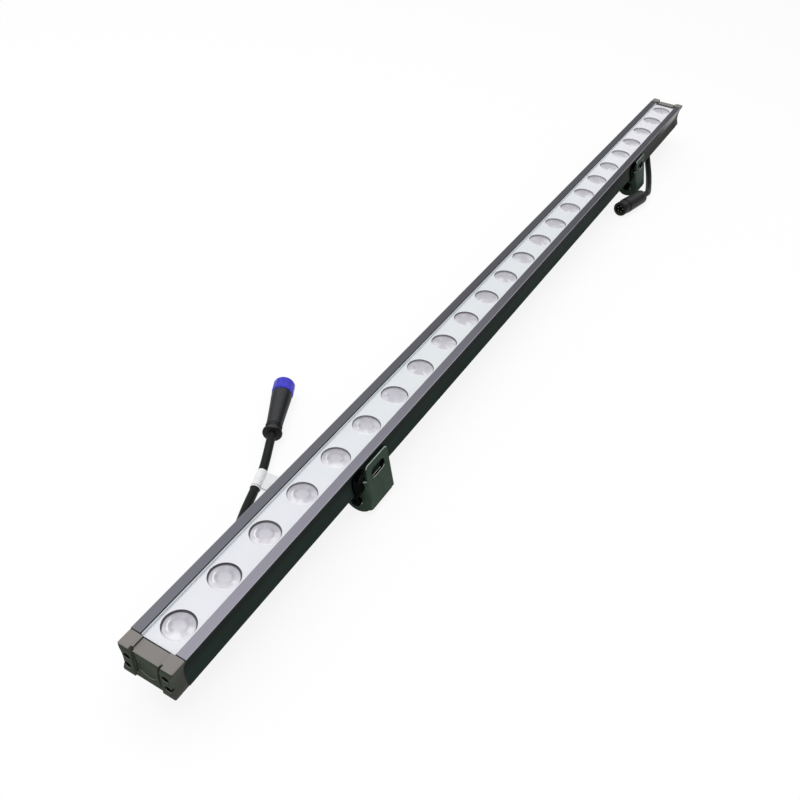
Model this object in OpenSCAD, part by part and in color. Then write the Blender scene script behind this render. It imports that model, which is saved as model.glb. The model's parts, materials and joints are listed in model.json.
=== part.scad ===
/* [Lamp body] */
// Length of the extruded body without its end caps
body_l = 977; // [800:1:1200]
// Width of the body across its top strips
body_w = 40; // [38:0.5:46]
// Height of the body
body_h = 26; // [25:0.5:30]
// Depth of the hollow in each flank
waist_depth = 2.9; // [2:0.1:3.5]
// Wall of the body
wall = 1.8; // [1.4:0.1:2]
// Width of each top strip beside the window
strip_w = 7; // [6.5:0.1:7.5]
// Straight edge of each top strip above the hollow flank
top_lip = 1.9; // [1.5:0.1:2.4]
// Straight edge under the hollow flank
bottom_lip = 0.5; // [0.3:0.1:1]

/* [Lenses] */
// Distance from the body's end to the middle of its first lens
end_margin = 17; // [14:0.5:30]
// Number of lenses in the row
lens_count = 24; // [6:2:24]
// Diameter of a lens as a share of the body's width
lens_share = 0.525; // [0.45:0.005:0.535]
// Height of a lens from the board to its crown
lens_h = 9.2; // [8:0.1:9.4]
// Gap around a lens in its hole
lens_gap = 0.2; // [0.1:0.05:0.4]

/* [Cover and boards] */
// Thickness of the cover glass
glass_t = 2; // [1.5:0.1:2.5]
// Depth of the glass below the top strips
glass_drop = 1.2; // [0.6:0.1:1.4]
// Width of the seal beside the glass
seal_w = 0.8; // [0.5:0.1:1.2]
// Thickness of the lens plate
plate_t = 1.6; // [1.2:0.1:2]
// Thickness of the light board
board_t = 1.5; // [1:0.1:1.6]
// Width of the light board
board_w = 20; // [16:1:21]
// Thickness of the floor that the light board lies on
floor_t = 1.8; // [1.4:0.1:2.2]
// Distance from the control board's end to a cable outlet
control_end = 75; // [60:1:120]
// Width of the control board
control_w = 20; // [16:1:22]

/* [End caps] */
// Length of an end cap with its gasket
cap_l = 11.5; // [10:0.5:16]
// Thickness of the gasket behind an end cap
gasket_t = 0.8; // [0.5:0.1:1.2]
// Distance from an end cap's side to its middle block
block_in = 9.8; // [9.2:0.1:11]
// Width of the slots beside the middle block
slot_w = 1.6; // [1:0.1:2]
// Depth of these slots along the lamp
slot_deep = 2.6; // [2:0.1:6]
// Diameter of an end screw
screw_d = 2.6; // [2.2:0.1:3]
// Diameter of an end screw's head
screw_head_d = 5; // [4.4:0.1:5.4]

/* [Foot brackets] */
// Height of a foot plate
foot_h = 38.3; // [36:0.1:42]
// Width of a foot bracket along the lamp
foot_w = 32.2; // [30:0.1:40]
// Thickness of the sheet of a foot bracket
sheet = 2.2; // [1.8:0.1:2.4]
// Outer radius of the bend
bend_r = 3.2; // [3:0.1:3.4]
// Radius of the round cheek at its pivot
cheek_r = 12; // [11:0.1:13]
// Distance from the pivot to the outer face of the foot plate
pivot_out = 10.4; // [10.2:0.1:11.5]
// Height of the foot plate's top above the pivot
pivot_up = 29.3; // [28:0.1:30]
// Lean of the foot plate as it is folded
fold_lean = 13.3; // [12.8:0.1:15]
// Distance from the body's edge to the pivot
pivot_inset = 3.6; // [3.2:0.1:3.7]
// Length of the fixing slot
foot_slot_l = 18; // [12:0.5:20]
// Width of the fixing slot
foot_slot_w = 8; // [6:0.5:9]
// Distance from the foot plate's top to the middle of the slot
foot_slot_down = 10.5; // [8:0.5:11]
// Height of the relief notch above the bend
notch_h = 12.4; // [11:0.1:13]
// Distance from the body's near end to the near bracket's cheek
near_foot_in = 186; // [180:0.5:260]
// Distance from the body's far end to the far bracket's cheek
far_foot_in = 179; // [179:0.5:260]

/* [Clamps] */
// Width of a clamp along the lamp
clamp_w = 11; // [8:0.5:14]
// Thickness of a clamp
clamp_t = 1.5; // [1.2:0.1:1.6]
// Height of a clamp's arms below the lamp's top
clamp_top = 8.2; // [7:0.1:9]
// Diameter of the pivot screw
pivot_d = 4; // [3.5:0.1:4.5]
// Diameter of the pivot screw's head
pivot_head_d = 8.4; // [7:0.1:9]
// Radius of the round lug under a clamp
lug_r = 7.2; // [6.5:0.1:7.5]

/* [Cable outlets] */
// Distance from the body's end to a cable outlet
outlet_in = 33.5; // [26:0.5:60]
// Radius of a cable outlet's elbow
elbow_r = 8.5; // [7.5:0.1:9]
// Depth of the cable's axis below the lamp's top
outlet_drop = 38; // [36:0.1:39]
// Length of the elbow's barrel
barrel_l = 13; // [11:0.1:15]
// Length of the nut on the barrel
nut_l = 8; // [6:0.1:10]
// Length of the tapered strain relief
relief_l = 21; // [20:0.5:24]
// Diameter of a cable
cable_d = 7; // [6:0.1:7.4]

/* [Plug and socket] */
// Length of the plug
plug_l = 62; // [58:0.5:66]
// Diameter of the plug's coupling ring
ring_d = 18; // [17:0.1:18]
// Length of the coupling ring
ring_l = 13; // [11:0.5:15]
// Length of the socket
socket_l = 50.5; // [46:0.5:54]
// Diameter of the socket
socket_d = 17.2; // [16:0.1:17.2]
// Diameter of the inserts in plug and socket
insert_d = 10.4; // [9:0.1:11]
// Diameter of a contact pin
pin_d = 1.4; // [1:0.1:1.6]

/* [Hidden] */
$fn = 48;

over = 1;
fit = 0.05;
gap = 0.3;
waist_w = body_w - 2 * waist_depth;
arc_half = (body_h - top_lip - bottom_lip) / 2;
flank_r = (arc_half * arc_half + waist_depth * waist_depth) / 2 / waist_depth;
waist_z = -top_lip - arc_half;
window_w = body_w - 2 * strip_w;
lens_d = body_w * lens_share;
pitch = (body_l - 2 * end_margin) / (lens_count - 1);
outlet_place = body_l / 2 - outlet_in;
control_l = 2 * (outlet_place - control_end);
near_cheek = -body_l / 2 + near_foot_in;
foot_spacing = body_l - near_foot_in - far_foot_in;
block_half = body_w / 2 - block_in;

glass_under = -glass_drop - glass_t;
plate_under = glass_under - plate_t;
ledge_t = 1.2;
ledge_w = 1.4;
ledge_half = window_w / 2 - ledge_w;
crown_gap = 0.35;
board_top = glass_under - crown_gap - lens_h;
floor_top = board_top - board_t;
floor_under = floor_top - floor_t;
bottom_wall = 1.6;
rib_h = 1.8;
rib_w = 2;
control_t = 1.6;
control_under = -body_h + bottom_wall + rib_h;
control_top = control_under + control_t;
play = 0.4;

port_high_in = 6;
port_high_y = body_w / 2 - port_high_in;
port_high_z = 9.3;
port_low_in = 5.1;
port_low_y = body_w / 2 - port_low_in;
port_low_z = 18.3;
ports = [
    [port_high_y, -port_high_z], [port_low_y, -port_low_z],
    [-port_high_y, -port_high_z], [-port_low_y, -port_low_z]
];
port_wall = 1.3;
screw_l = 16;
screw_head_h = 1.6;
pocket_deep = 2;
block_drop = 1.75;
block_back = 1;
lobe_r = 1.5;
edge_r = 0.5;
slot_floor = 23.2;
dimple_d = 14;
dimple_deep = 0.6;

pivot_y = -body_w / 2 + pivot_inset;
strap_top = -body_h - gap;
strap_under = strap_top - clamp_t;
pivot_z = strap_under - gap - cheek_r;
ground_z = pivot_z - cheek_r;
foot_low = foot_h - pivot_up;
foot_out_y = pivot_y - pivot_out * cos(fold_lean) - foot_low * sin(fold_lean);
clamp_half = body_w / 2 + gap + clamp_t;
side_shift = -(foot_out_y + clamp_half) / 2;
notch_x = 2.4;
foot_corner_r = 3.6;
washer_t = 0.8;
washer_d = 9;
head_h = 2.6;
lug_t = 2;
tab_l = 14;
tab_out = body_w / 2;
tab_in = tab_out - tab_l;
pivot_nut_t = 3.2;
pivot_nut_d = 8;
clamp_screw_z = -11.5;
clamp_head_d = 8;
clamp_head_h = 1.8;
clamp_screw_d = 4;

flange_t = 2;
flange_l = 20;
flange_w = 30;
outlet_screw_y = 12;
outlet_screw_d = 3;
outlet_head_d = 5.4;
outlet_head_h = 1.6;
wire_hole_d = 8;
wire_d = 1.4;
wire_rise = 5.5;
terminal_l = 8;
terminal_h = 4.2;
gland_nut_d = 16.4;
relief_d = 12.5;
relief_end_d = 8.6;
near_turn = 24;
far_turn = 192;

plug_at = [175.8, 77.5, 9];
plug_turn = 26.5;
socket_at = [-152.9, -38.2, 8.6];
socket_turn = 167.2;
collar_d = 16;
collar_l = 3;
neck_d = 12.2;
ring_back = 1;
thread_d = 14.6;
ring_bore_d = 15;
insert_deep = 9;
pin_back = 1.2;
seal_d = 1.2;
pin_count = 5;
pin_circle_d = 6.4;
label_at = [133.5, 58.8, 4.4];
label_turn = 19;
label_l = 18;
label_t = 0.4;
label_flag = 15;
label_drop = 12;
label_gap = 0.3;

cord_sides = 10;
near_route = [
    [38.4, 17.1, 14.1], [48.2, 21.6, 13.9], [57.9, 26.2, 12.4], [67.3, 31.1, 10.2],
    [76.6, 36.1, 7.9], [86.1, 41, 6.1], [95.9, 45.4, 4.9], [106, 49.4, 4.5],
    [116.2, 52.9, 4.4], [126.5, 56.3, 4.4], [136.7, 59.9, 4.4], [146.7, 63.9, 4.8],
    [156.5, 68.3, 6.2], [166.1, 72.7, 8.5], [175.8, 77.5, 9]
];
far_route = [
    [-41.1, -8.7, 14.1], [-49.4, -10.6, 14], [-57.3, -13.5, 13.1], [-64.9, -16.8, 11.4],
    [-72.4, -20.2, 9.3], [-79.9, -23.6, 7.2], [-87.6, -26.8, 5.4], [-95.5, -29.6, 4.2],
    [-103.5, -32.2, 3.7], [-111.7, -34.6, 3.7], [-119.8, -36.8, 4.2], [-128, -38.8, 5.2],
    [-136.3, -40.2, 6.7], [-144.6, -39.9, 8.3], [-152.9, -38.2, 8.6]
];

function unit(v) = v / norm(v);
function heading(p, i) =
    i == 0 ? unit(p[1] - p[0]) :
    i == len(p) - 1 ? unit(p[i] - p[i - 1]) :
    unit(unit(p[i + 1] - p[i]) + unit(p[i] - p[i - 1]));
function across(t) = unit(cross(t, [0, 0, 1]));
function ring_point(p, i, r, a) =
    let(t = heading(p, i), s = across(t), u = cross(s, t))
    p[i] + r * (cos(a) * s + sin(a) * u);

module cord(p, d) {
    n = cord_sides;
    rings = [for (i = [0:len(p) - 1]) for (k = [0:n - 1]) ring_point(p, i, d / 2, k * 360 / n)];
    walls = [
        for (i = [0:len(p) - 2]) for (k = [0:n - 1])
            let(m = (k + 1) % n)
            each [
                [i * n + k, i * n + n + m, i * n + m],
                [i * n + k, i * n + n + k, i * n + n + m]
            ]
    ];
    last = (len(p) - 1) * n;
    first_end = [for (k = [0:n - 1]) k];
    last_end = [for (k = [0:n - 1]) last + n - 1 - k];
    polyhedron(points = rings, faces = concat(walls, [first_end, last_end]), convexity = 4);
}

module in_place() {
    translate([0, side_shift, -ground_z])
        children();
}

module along(l) {
    rotate([90, 0, 90])
        translate([0, 0, -l / 2])
            linear_extrude(l)
                children();
}

module rod_x(d, l) {
    rotate([0, 90, 0])
        cylinder(d = d, h = l);
}

module rod_y(d, l) {
    rotate([-90, 0, 0])
        cylinder(d = d, h = l);
}

module rounded(w, h, r) {
    square([w - 2 * r, h], center = true);
    square([w, h - 2 * r], center = true);
    for (x = [-1, 1], y = [-1, 1]) {
        translate([x * (w / 2 - r), y * (h / 2 - r)])
            circle(r);
    }
}

module flanks(shift) {
    for (side = [-1, 1]) {
        translate([side * (waist_w / 2 + flank_r), waist_z])
            circle(flank_r + shift, $fn = 96);
    }
}

module outline(r) {
    difference() {
        translate([0, -body_h / 2])
            rounded(body_w, body_h, r);
        flanks(0);
    }
}

module chamber(high, low) {
    difference() {
        translate([-body_w / 2 + wall, low])
            square([body_w - 2 * wall, high - low]);
        flanks(wall);
    }
}

module housing() {
    color("dimgray")
    in_place()
    difference() {
        along(body_l) {
            difference() {
                outline(edge_r);
                difference() {
                    union() {
                        chamber(plate_under - ledge_t, floor_top);
                        chamber(floor_under, -body_h + bottom_wall);
                    }
                    for (p = ports) {
                        translate(p)
                            circle(screw_d / 2 + fit + port_wall);
                    }
                    for (side = [-1, 1]) {
                        translate([side * (control_w / 2 - rib_w) - rib_w / 2, -body_h])
                            square([rib_w, bottom_wall + rib_h]);
                    }
                }
                translate([-window_w / 2, plate_under])
                    square([window_w, over - plate_under]);
                translate([-ledge_half, plate_under - ledge_t - over])
                    square([2 * ledge_half, ledge_t + 2 * over]);
                for (p = ports) {
                    translate(p)
                        circle(screw_d / 2 + fit);
                }
            }
        }
        for (side = [-1, 1]) {
            translate([side * outlet_place, 0, -body_h - over])
                cylinder(d = wire_hole_d, h = bottom_wall + 2 * over);
            for (y = [-1, 1]) {
                translate([side * outlet_place, y * outlet_screw_y, -body_h - over])
                    cylinder(d = outlet_screw_d + 2 * fit, h = bottom_wall + 2 * over);
            }
        }
        board_screw_places() {
            translate([0, 0, floor_under - over])
                cylinder(d = screw_d + 2 * fit, h = floor_t + 2 * over);
        }
    }
}

module cover_glass() {
    color("lightcyan")
    in_place()
    translate([0, 0, glass_under + glass_t / 2])
        cube([body_l - 2 * play, window_w - 2 * seal_w, glass_t], center = true);
}

module cover_seals() {
    color("black")
    in_place()
    for (side = [-1, 1]) {
        translate([0, side * (window_w - seal_w) / 2, glass_under + glass_t / 2])
            cube([body_l - 2 * play, seal_w, glass_t], center = true);
    }
}

module lens_places() {
    for (i = [0:lens_count - 1]) {
        translate([(i - (lens_count - 1) / 2) * pitch, 0, 0])
            children();
    }
}

module board_screw_places() {
    pairs = floor(lens_count / 8) - 1;
    for (i = [-pairs:pairs]) {
        translate([i * 4 * pitch, 0, 0])
            children();
    }
}

module lens_plate() {
    color("white")
    in_place()
    difference() {
        translate([0, 0, plate_under + plate_t / 2])
            cube([body_l - 2 * play, window_w - play / 2, plate_t], center = true);
        lens_places() {
            translate([0, 0, plate_under - over])
                cylinder(d = lens_d + 2 * lens_gap, h = plate_t + 2 * over);
        }
    }
}

lens_out_shares = [0, 0.57, 1, 1, 0.895, 0.533, 0.305, 0.305, 0];
lens_up_shares = [1, 0.989, 0.946, 0.793, 0.793, 0, 0, 0.2, 0.28];

module lenses() {
    color("gainsboro")
    in_place()
    lens_places() {
        translate([0, 0, board_top])
            rotate_extrude()
                polygon([
                    for (i = [0:len(lens_out_shares) - 1])
                        [lens_out_shares[i] * lens_d / 2, lens_up_shares[i] * lens_h]
                ]);
    }
}

chip_share = 1 / 6;
chip_w = lens_d * chip_share;
chip_h = 0.8;
glow_share = 0.8;
chip_glow_d = chip_w * glow_share;
chip_glow_h = 0.3;

module leds() {
    color("khaki")
    in_place()
    lens_places() {
        translate([0, 0, board_top + chip_h / 2])
            cube([chip_w, chip_w, chip_h], center = true);
        translate([0, 0, board_top])
            cylinder(d = chip_glow_d, h = chip_h + chip_glow_h);
    }
}

module led_board() {
    color("seagreen")
    in_place()
    difference() {
        translate([0, 0, floor_top + board_t / 2])
            cube([body_l - 4 * play, board_w, board_t], center = true);
        board_screw_places() {
            translate([0, 0, floor_top - over])
                cylinder(d = screw_d + 2 * fit, h = board_t + 2 * over);
        }
    }
}

module board_screws() {
    color("silver")
    in_place()
    board_screw_places() {
        translate([0, 0, floor_under])
            cylinder(d = screw_d, h = floor_t + board_t);
        translate([0, 0, board_top])
            cylinder(d = screw_head_d, h = screw_head_h);
    }
}

module control_board() {
    color("darkgreen")
    in_place()
    translate([0, 0, control_under + control_t / 2])
        cube([control_l, control_w, control_t], center = true);
}

driver_w = 6;
driver_h = 1.4;
coil_d = 7;
coil_h = 3.4;
part_count = 8;
part_pitch = control_l / (part_count + 1);

module control_parts() {
    color("darkslategray")
    in_place() {
        for (i = [0:part_count - 1]) {
            x = (i - (part_count - 1) / 2) * part_pitch;
            translate([x, -control_w / 4, control_top + driver_h / 2])
                cube([driver_w, driver_w, driver_h], center = true);
            translate([x, control_w / 4, control_top])
                cylinder(d = coil_d, h = coil_h);
        }
        for (side = [-1, 1]) {
            translate([side * (control_l - terminal_l) / 2, 0, control_top + terminal_h / 2])
                cube([terminal_l, control_w / 2, terminal_h], center = true);
        }
    }
}

module lead_wires() {
    wire_z = control_top + terminal_h / 2;
    drop_l = wire_z + body_h + flange_t + wire_rise;
    color("firebrick")
    in_place()
    for (side = [-1, 1], k = [-1, 0, 1]) {
        x = side * (outlet_place + k * wire_d);
        y = k * 2 * wire_d;
        start = side < 0 ? x : control_l / 2;
        run_l = abs(x) - control_l / 2;
        translate([start, y, wire_z])
            rod_x(wire_d, run_l);
        translate([x, y, wire_z])
            sphere(d = wire_d);
        translate([x, y, wire_z - drop_l])
            cylinder(d = wire_d, h = drop_l);
    }
}

module port_holes(d, start, l) {
    for (p = ports) {
        translate([start, p[0], p[1]])
            rod_x(d, l);
    }
}

module gasket(side) {
    in_place()
    difference() {
        translate([side * (body_l + gasket_t) / 2, 0, 0])
            along(gasket_t)
                difference() {
                    outline(lobe_r);
                    translate([-window_w / 2, -block_drop])
                        square([window_w, block_drop + over]);
                }
        port_holes(screw_d + 4 * fit, side * (body_l + gasket_t) / 2 - gasket_t, 2 * gasket_t);
    }
}

module near_gasket() {
    color("black")
        gasket(-1);
}

module far_gasket() {
    color("black")
        gasket(1);
}

// The cap is drawn from its inner face, at zero, to its front in +X.
module cap() {
    depth = cap_l - gasket_t;
    difference() {
        intersection() {
            translate([depth / 2, 0, 0])
                along(depth)
                    outline(lobe_r);
            translate([0, 0, -body_h - over])
                linear_extrude(body_h + 2 * over)
                    translate([depth / 2 - lobe_r, 0])
                        rounded(depth + 2 * lobe_r, body_w, lobe_r);
        }
        translate([-over, -block_half, -block_drop])
            cube([depth + 2 * over, 2 * block_half, block_drop + over]);
        translate([depth - block_back, -block_half, -body_h - over])
            cube([block_back + over, 2 * block_half, body_h + 2 * over]);
        translate([depth - block_back - dimple_deep, 0, waist_z])
            rod_x(dimple_d, dimple_deep + over);
        translate([depth - slot_deep / 2 + over / 2, 0, 0])
            along(slot_deep + over)
                intersection() {
                    difference() {
                        flanks(body_w / 2 - block_half);
                        flanks(body_w / 2 - block_half - slot_w);
                    }
                    translate([-body_w / 2 + strip_w / 2, -slot_floor])
                        square([body_w - strip_w, slot_floor + over]);
                }
        port_holes(screw_d + 4 * fit, -over, depth + 2 * over);
        port_holes(screw_head_d + 8 * fit, depth - pocket_deep, pocket_deep + over);
    }
}

module at_end(side) {
    in_place()
    translate([side * (body_l / 2 + gasket_t), 0, 0])
        rotate([0, 0, side < 0 ? 180 : 0])
            children();
}

module near_end_cap() {
    color("gray")
        at_end(-1)
            cap();
}

module far_end_cap() {
    color("gray")
        at_end(1)
            cap();
}

cross_w = 0.8;
cross_l = 2.8;
cross_deep = 0.8;

module cross_cut() {
    for (a = [0, 90]) {
        rotate([a, 0, 0])
            translate([-cross_deep, -cross_l / 2, -cross_w / 2])
                cube([cross_deep + over, cross_l, cross_w]);
    }
}

module end_screws() {
    seat = cap_l - gasket_t - pocket_deep;
    color("silver")
    for (side = [-1, 1]) {
        at_end(side)
            for (p = ports) {
                translate([seat, p[0], p[1]]) {
                    difference() {
                        rod_x(screw_head_d, screw_head_h);
                        translate([screw_head_h, 0, 0])
                            cross_cut();
                    }
                    translate([-screw_l, 0, 0])
                        rod_x(screw_d, screw_l);
                }
            }
    }
}

module at_outlet(side, turn) {
    in_place()
    translate([side * outlet_place, 0, -outlet_drop])
        rotate([0, 0, turn])
            children();
}

module outlet(side, turn) {
    rise = outlet_drop - body_h;
    difference() {
        union() {
            at_outlet(side, turn) {
                cylinder(r = elbow_r, h = rise);
                sphere(r = elbow_r);
                rod_x(2 * elbow_r, barrel_l);
            }
            at_outlet(side, 0)
                translate([-flange_l / 2, -flange_w / 2, rise - flange_t])
                    cube([flange_l, flange_w, flange_t]);
        }
        at_outlet(side, turn)
            cylinder(d = wire_hole_d, h = rise + over);
        at_outlet(side, 0)
            for (y = [-1, 1]) {
                translate([0, y * outlet_screw_y, rise - flange_t - over])
                    cylinder(d = outlet_screw_d + 2 * fit, h = flange_t + 2 * over);
            }
    }
}

module near_outlet() {
    color("black")
        outlet(-1, near_turn);
}

module far_outlet() {
    color("black")
        outlet(1, far_turn);
}

module outlet_screws() {
    color("silver")
    in_place()
    for (side = [-1, 1], y = [-1, 1]) {
        translate([side * outlet_place, y * outlet_screw_y, -body_h - flange_t]) {
            cylinder(d = outlet_screw_d, h = flange_t + bottom_wall);
            translate([0, 0, -outlet_head_h])
                cylinder(d = outlet_head_d, h = outlet_head_h);
        }
    }
}

grip_d = 1.6;
grip_count = 10;

module gland_nut() {
    difference() {
        rod_x(gland_nut_d, nut_l);
        for (a = [0:360 / grip_count:359]) {
            rotate([a, 0, 0])
                translate([-over, 0, gland_nut_d / 2 + grip_d / 4])
                    rod_x(grip_d, nut_l + 2 * over);
        }
    }
}

module near_gland_nut() {
    color("dimgray")
        at_outlet(-1, near_turn)
            translate([barrel_l, 0, 0])
                gland_nut();
}

module far_gland_nut() {
    color("dimgray")
        at_outlet(1, far_turn)
            translate([barrel_l, 0, 0])
                gland_nut();
}

module strain_relief() {
    rotate([0, 90, 0])
        cylinder(d1 = relief_d, d2 = relief_end_d, h = relief_l);
}

module near_strain_relief() {
    color("black")
        at_outlet(-1, near_turn)
            translate([barrel_l + nut_l, 0, 0])
                strain_relief();
}

module far_strain_relief() {
    color("black")
        at_outlet(1, far_turn)
            translate([barrel_l + nut_l, 0, 0])
                strain_relief();
}

module by_outlet(side) {
    translate([side * outlet_place, side_shift, 0])
        children();
}

module near_cable() {
    color("black")
        by_outlet(-1)
            cord(near_route, cable_d);
}

module far_cable() {
    color("black")
        by_outlet(1)
            cord(far_route, cable_d);
}

module flag_label() {
    inner_d = cable_d + 2 * label_gap;
    color("white")
    by_outlet(-1)
    translate(label_at)
        rotate([0, 0, label_turn]) {
            difference() {
                translate([-label_l / 2, 0, 0])
                    rod_x(inner_d + 2 * label_t, label_l);
                translate([-label_l / 2 - over, 0, 0])
                    rod_x(inner_d, label_l + 2 * over);
            }
            rotate([label_drop, 0, 0])
                translate([-label_l / 2, -inner_d / 2 - label_flag, 0])
                    cube([label_l, label_flag - label_t / 4, label_t]);
        }
}

module at_plug() {
    by_outlet(-1)
    translate(plug_at)
        rotate([0, 0, plug_turn])
            children();
}

module at_socket() {
    by_outlet(1)
    translate(socket_at)
        rotate([0, 0, socket_turn])
            children();
}

module turned(points) {
    rotate([90, 0, 90])
        rotate_extrude()
            polygon(points);
}

module plug_body() {
    shoulder = plug_l - ring_l - ring_back;
    color("black")
    at_plug()
    difference() {
        turned([
            [0, 0],
            [collar_d / 2 - lobe_r, 0],
            [collar_d / 2, lobe_r],
            [collar_d / 2, collar_l],
            [neck_d / 2, collar_l + lobe_r],
            [ring_d / 2 - edge_r, shoulder],
            [thread_d / 2, shoulder],
            [thread_d / 2, plug_l - ring_back],
            [0, plug_l - ring_back]
        ]);
        translate([plug_l - ring_back - insert_deep, 0, 0])
            rod_x(insert_d, insert_deep + over);
    }
}

module plug_insert() {
    color("dimgray")
    at_plug()
    difference() {
        translate([plug_l - ring_back - insert_deep, 0, 0])
            rod_x(insert_d - 2 * fit, insert_deep / 2);
        for (k = [0:pin_count - 1]) {
            rotate([k * 360 / pin_count, 0, 0])
                translate([plug_l - ring_back - insert_deep + over, 0, pin_circle_d / 2])
                    rod_x(pin_d + 4 * fit, insert_deep);
        }
    }
}

module plug_seal() {
    color("black")
    at_plug()
    translate([plug_l - ring_back - insert_deep / 2, 0, 0])
        rotate([0, 90, 0])
            difference() {
                cylinder(d = insert_d - 2 * fit, h = seal_d);
                translate([0, 0, -over])
                    cylinder(d = insert_d - 2 * seal_d, h = seal_d + 2 * over);
            }
}

module coupling_ring() {
    color("blue")
    at_plug()
    translate([plug_l - ring_l, 0, 0])
        difference() {
            rod_x(ring_d, ring_l);
            translate([-over, 0, 0])
                rod_x(ring_bore_d, ring_l + 2 * over);
            for (a = [0:30:359]) {
                rotate([a, 0, 0])
                    translate([2 * edge_r, 0, ring_d / 2 + grip_d / 4])
                        rod_x(grip_d, ring_l);
            }
        }
}

module socket_body() {
    groove = socket_l - ring_l + 2 * seal_d;
    nose_d = socket_d - 2 * edge_r;
    color("black")
    at_socket()
    difference() {
        turned([
            [0, 0],
            [neck_d / 2, 0],
            [collar_d / 2, collar_l],
            [socket_d / 2, socket_l - ring_l],
            [socket_d / 2, groove - seal_d],
            [nose_d / 2 - seal_d, groove - seal_d],
            [nose_d / 2 - seal_d, groove],
            [nose_d / 2, groove],
            [nose_d / 2, socket_l],
            [0, socket_l]
        ]);
        translate([socket_l - insert_deep, 0, 0])
            rod_x(insert_d, insert_deep + over);
    }
}

module socket_seal() {
    nose_d = socket_d - 2 * edge_r;
    color("black")
    at_socket()
    translate([socket_l - ring_l + seal_d + fit, 0, 0])
        rotate([0, 90, 0])
            difference() {
                cylinder(d = nose_d + edge_r, h = seal_d - 2 * fit);
                translate([0, 0, -over])
                    cylinder(d = nose_d - 2 * seal_d + 2 * fit, h = seal_d + 2 * over);
            }
}

module socket_insert() {
    color("dimgray")
    at_socket()
    difference() {
        translate([socket_l - insert_deep, 0, 0])
            rod_x(insert_d - 2 * fit, insert_deep / 4);
        pin_places() {
            translate([socket_l - insert_deep - over, 0, 0])
                rod_x(pin_d + 2 * fit, insert_deep);
        }
    }
}

module pin_places() {
    for (k = [0:pin_count - 1]) {
        rotate([k * 360 / pin_count, 0, 0])
            translate([0, 0, pin_circle_d / 2])
                children();
    }
}

module socket_pins() {
    color("gold")
    at_socket()
    pin_places() {
        translate([socket_l - insert_deep, 0, 0])
            rod_x(pin_d, insert_deep - pin_back);
    }
}

// The bracket is drawn round its pivot: the cheek's outer face at zero in X, the plate upright.
module foot() {
    plate_l = foot_w - notch_x;
    notch_b = pivot_up - notch_h;
    in_b = -pivot_out + bend_r;
    difference() {
        union() {
            rod_x(2 * cheek_r, sheet);
            translate([0, in_b - fit, -foot_low])
                cube([sheet, -in_b + fit, 2 * foot_low]);
            translate([bend_r, in_b, -foot_low])
                intersection() {
                    difference() {
                        cylinder(r = bend_r, h = foot_low + notch_b);
                        translate([0, 0, -over])
                            cylinder(r = bend_r - sheet, h = foot_low + notch_b + 2 * over);
                    }
                    translate([-bend_r - over, -bend_r - over, 0])
                        cube([bend_r + over, bend_r + over, foot_low + notch_b]);
                }
            translate([bend_r, -pivot_out, -foot_low])
                cube([foot_w - 2 * bend_r, sheet, foot_low + notch_b]);
            translate([notch_x, -pivot_out, notch_b])
                cube([plate_l, sheet, notch_h - foot_corner_r]);
            translate([notch_x + foot_corner_r, -pivot_out, notch_b])
                cube([plate_l - 2 * foot_corner_r, sheet, notch_h]);
            for (x = [notch_x + foot_corner_r, foot_w - foot_corner_r]) {
                translate([x, -pivot_out, pivot_up - foot_corner_r])
                    rod_y(2 * foot_corner_r, sheet);
            }
            translate([foot_w - bend_r - over, -pivot_out, -foot_low + edge_r])
                cube([bend_r + over, sheet, foot_low + notch_b - edge_r]);
        }
        translate([-over, 0, 0])
            rod_x(pivot_d + 2 * fit, sheet + 2 * over);
        translate([notch_x + plate_l / 2, -pivot_out - over, pivot_up - foot_slot_down]) {
            for (side = [-1, 1]) {
                translate([side * (foot_slot_l - foot_slot_w) / 2, 0, 0])
                    rod_y(foot_slot_w, sheet + 2 * over);
            }
            translate([-(foot_slot_l - foot_slot_w) / 2, 0, -foot_slot_w / 2])
                cube([foot_slot_l - foot_slot_w, sheet + 2 * over, foot_slot_w]);
        }
    }
}

module at_pivot(far) {
    in_place()
    translate([near_cheek + far * foot_spacing, pivot_y, pivot_z])
        children();
}

module near_foot() {
    color("darkolivegreen")
        at_pivot(0)
            rotate([-fold_lean, 0, 0])
                foot();
}

module far_foot() {
    color("darkolivegreen")
        at_pivot(1)
            rotate([-fold_lean, 0, 0])
                foot();
}

module clamp(far) {
    strap_x = near_cheek + far * foot_spacing - gap - clamp_w / 2;
    lug_x = near_cheek + far * foot_spacing + sheet + gap;
    tab_x = strap_x + clamp_w / 2;
    difference() {
        in_place() {
            translate([strap_x, 0, 0])
                along(clamp_w)
                    difference() {
                        difference() {
                            translate([-clamp_half, strap_under])
                                square([2 * clamp_half, -clamp_top - strap_under]);
                            flanks(-gap - clamp_t);
                        }
                        difference() {
                            translate([-body_w / 2 - gap, strap_top])
                                square([body_w + 2 * gap, -strap_top + over]);
                            flanks(-gap);
                        }
                    }
            translate([tab_x - over, -tab_out, strap_under])
                cube([lug_x + lug_t - tab_x + over, tab_out - tab_in, clamp_t]);
            translate([lug_x + lug_t / 2, 0, 0])
                along(lug_t)
                    union() {
                        polygon([
                            [-tab_out, strap_under],
                            [-tab_in, strap_under],
                            [pivot_y + lug_r, pivot_z],
                            [pivot_y - lug_r, pivot_z]
                        ]);
                        translate([pivot_y, pivot_z])
                            circle(lug_r);
                    }
        }
        at_pivot(far)
            translate([sheet, 0, 0])
                rod_x(pivot_d + 2 * fit, gap + lug_t + over);
        in_place()
            translate([strap_x, -clamp_half - over, clamp_screw_z])
                rod_y(clamp_screw_d + 2 * fit, clamp_half);
    }
}

module near_clamp() {
    color("darkslategray")
        clamp(0);
}

module far_clamp() {
    color("darkslategray")
        clamp(1);
}

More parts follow.
